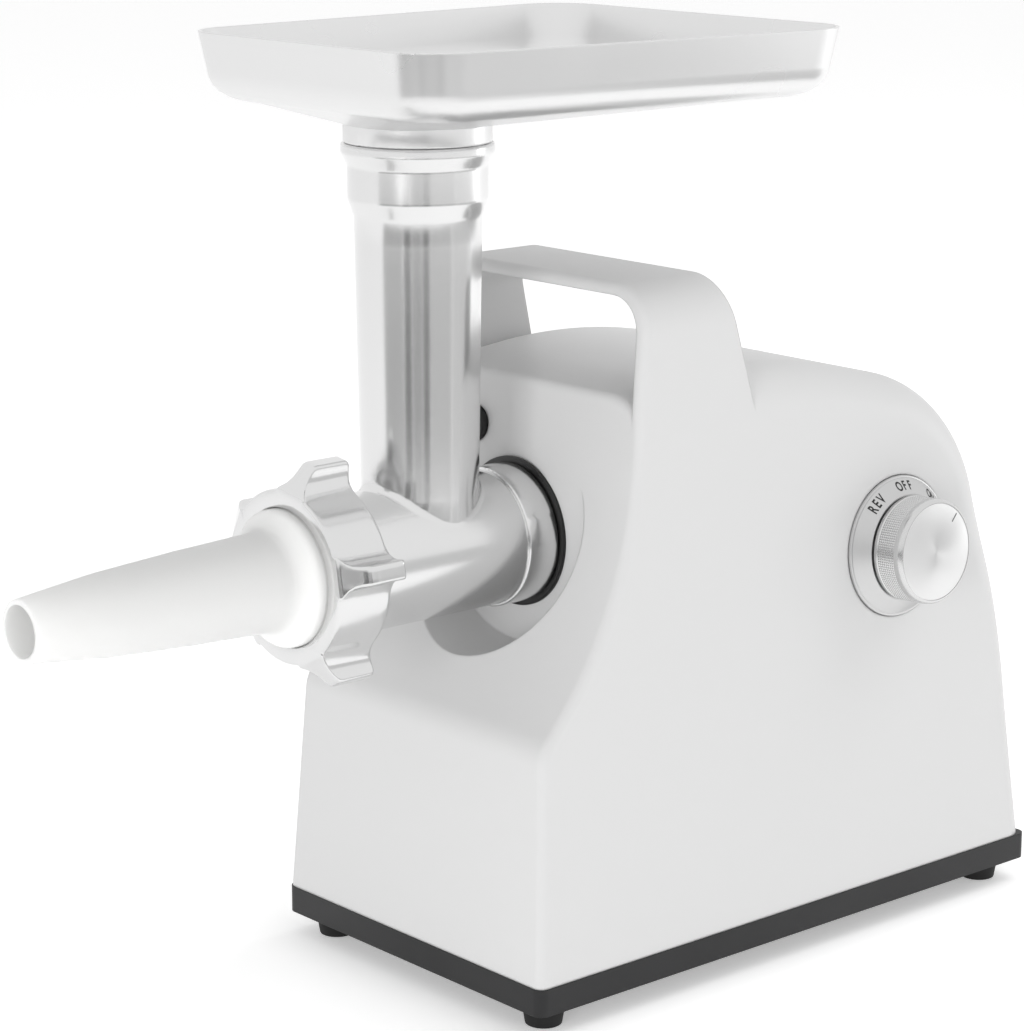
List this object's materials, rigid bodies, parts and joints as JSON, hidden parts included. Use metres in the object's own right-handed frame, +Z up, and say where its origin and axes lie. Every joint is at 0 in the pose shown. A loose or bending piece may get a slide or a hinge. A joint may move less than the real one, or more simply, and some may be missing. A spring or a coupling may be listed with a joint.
{
  "type": "electric meat grinder",
  "caption": "Electric meat grinder: white loaf-shaped motor housing with carry handle, rotary switch, cast barrel with feed tube, hopper tray, lobed ring nut and stuffing tube.",
  "frame": {"origin": "On the floor plane under the middle of the base plate, level with the undersides of the rubber feet.", "axes": "+Z is up, -Y is the front where the stuffing tube points, +X is the side with the switch knob."},
  "size_m": [0.1841, 0.4705, 0.3848],
  "materials": {
    "white_plastic": "satin white moulding",
    "white_horn": "satin white",
    "charcoal_plastic": "fine matt grain",
    "black_plastic": "satin black",
    "black_rubber": "matt",
    "cast_aluminium": "polished casting",
    "tray_aluminium": "satin pressed sheet",
    "zinc_casting": "as cast",
    "dial_metal": "circular brushed",
    "knob_metal": "turned and knurled",
    "steel": "bright",
    "gear_steel": "oiled",
    "bronze": "sintered",
    "copper": "enamelled wire",
    "lamination": "stacked sheet",
    "carbon": "matt"
  },
  "bodies": {
    "base": {"housing_shell": "white_plastic", "base_plate": "charcoal_plastic", "rubber_feet": "black_rubber", "head_socket": "black_plastic", "lock_spring": "steel", "dial_plate": "dial_metal", "rotary_switch": "black_plastic", "switch_nut": "steel", "power_inlet": "black_plastic", "inlet_screws": "steel", "base_screws": "steel", "socket_screws": "steel", "gearbox_housing": "zinc_casting", "gearbox_cover": "zinc_casting", "gearbox_screws": "steel", "output_bush_front": "bronze", "output_bush_rear": "bronze", "first_axle": "steel", "second_axle": "steel", "stator_core": "lamination", "field_coils": "copper", "motor_bearings": "bronze", "front_bracket": "zinc_casting", "rear_bracket": "zinc_casting", "brush_holders": "bronze", "carbon_brushes": "carbon", "brush_caps": "black_plastic", "motor_screws": "steel"},
    "knob": {"switch_knob": "knob_metal", "knob_cap": "knob_metal", "switch_spindle": "steel"},
    "lock": {"lock_button": "black_plastic", "lock_latch": "steel"},
    "rotor": {"rotor_shaft": "steel", "motor_pinion": "gear_steel", "armature_core": "lamination", "armature_windings": "copper", "commutator": "copper", "cooling_fan": "black_plastic"},
    "first_idler": {"first_gear": "gear_steel", "first_pinion": "gear_steel"},
    "second_idler": {"second_gear": "gear_steel", "second_pinion": "gear_steel"},
    "drive": {"output_shaft": "steel", "output_gear": "gear_steel", "auger": "cast_aluminium"},
    "head": {"grinder_head": "cast_aluminium", "thrust_washer": "white_horn", "front_spacer": "white_horn"},
    "tray": {"hopper_tray": "tray_aluminium"},
    "horn": {"stuffing_tube": "white_horn"},
    "nut": {"ring_nut": "cast_aluminium"}
  },
  "joints": [
    {"name": "knob_turn", "type": "hinge", "parent": "base", "child": "knob", "pos_m": [0.07273, 0.0632, 0.1643], "axis": [0.9984, 0, 0.0558], "range_deg": [0, 80]},
    {"name": "lock_press", "type": "slide", "parent": "base", "child": "lock", "axis": [0, 1, 0], "range_m": [0, 0.0025], "stiffness_N_per_m": 600, "springref_m": -0.003, "deforming": ["lock_spring"]},
    {"name": "rotor_spin", "type": "hinge", "parent": "base", "child": "rotor", "pos_m": [0.00002, 0, 0.08507], "axis": [0, 1, 0], "continuous": true},
    {"name": "first_spin", "type": "hinge", "parent": "base", "child": "first_idler", "pos_m": [-0.0039, 0, 0.11481], "axis": [0, 1, 0], "continuous": true},
    {"name": "second_spin", "type": "hinge", "parent": "base", "child": "second_idler", "pos_m": [0.01997, 0, 0.13868], "axis": [0, 1, 0], "continuous": true},
    {"name": "drive_spin", "type": "hinge", "parent": "base", "child": "drive", "pos_m": [0, 0, 0.1815], "axis": [0, 1, 0], "continuous": true},
    {"name": "head_turn", "type": "hinge", "parent": "base", "child": "head", "pos_m": [0, -0.089, 0.1815], "axis": [0, 1, 0], "range_deg": [0, 45]},
    {"name": "tray_lift", "type": "slide", "parent": "head", "child": "tray", "axis": [0, 0, 1], "range_m": [0, 0.03]},
    {"name": "horn_release", "type": "slide", "parent": "head", "child": "horn", "axis": [0, -1, 0], "range_m": [0, 0.0121]},
    {"name": "nut_turn", "type": "hinge", "parent": "horn", "child": "nut", "pos_m": [0, -0.1925, 0.1815], "axis": [0, -1, 0], "range_deg": [0, 1440]}
  ],
  "couplings": [
    {"joint": "first_spin", "follows": "rotor_spin", "ratio": -0.25},
    {"joint": "second_spin", "follows": "rotor_spin", "ratio": 0.071429},
    {"joint": "drive_spin", "follows": "rotor_spin", "ratio": -0.020408},
    {"joint": "horn_release", "follows": "nut_turn", "m_per_rad": 0.00047746}
  ]
}
